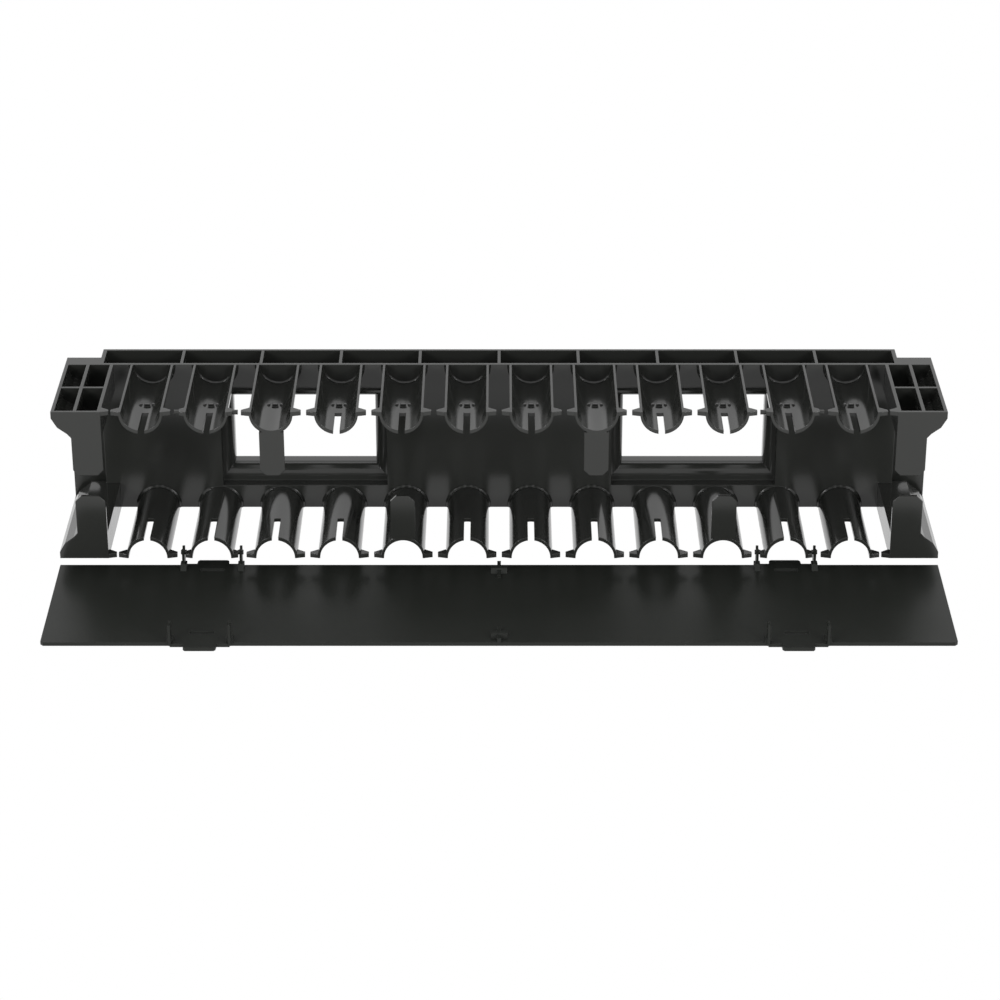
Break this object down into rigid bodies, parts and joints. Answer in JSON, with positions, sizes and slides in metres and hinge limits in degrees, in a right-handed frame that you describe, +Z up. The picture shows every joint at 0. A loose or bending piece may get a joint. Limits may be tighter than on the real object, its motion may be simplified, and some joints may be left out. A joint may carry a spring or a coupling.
{
  "type": "horizontal cable manager",
  "caption": "Rack-mount horizontal cable manager: a moulded back plate with upper and lower rows of barbed cable fingers, pass-through openings and a hinged clip-on cover, shown open",
  "frame": {"origin": "middle of the mounting slot pattern, on the rear face of the flanges that meets the rack rails", "axes": "+X to the right seen from the front, +Y to the back of the rack, +Z up"},
  "size_m": [0.4846, 0.1724, 0.0989],
  "materials": {
    "black_plastic": "semi-gloss black moulded plastic",
    "cover_plastic": "semi-gloss black moulded plastic"
  },
  "bodies": {
    "body": {"manager_body": "black_plastic"},
    "cover": {"cover": "cover_plastic"}
  },
  "joints": [
    {"name": "cover_hinge", "type": "hinge", "parent": "body", "child": "cover", "pos_m": [0, -0.07, -0.0423], "axis": [-1, 0, 0], "range_deg": [0, 91.3]}
  ]
}
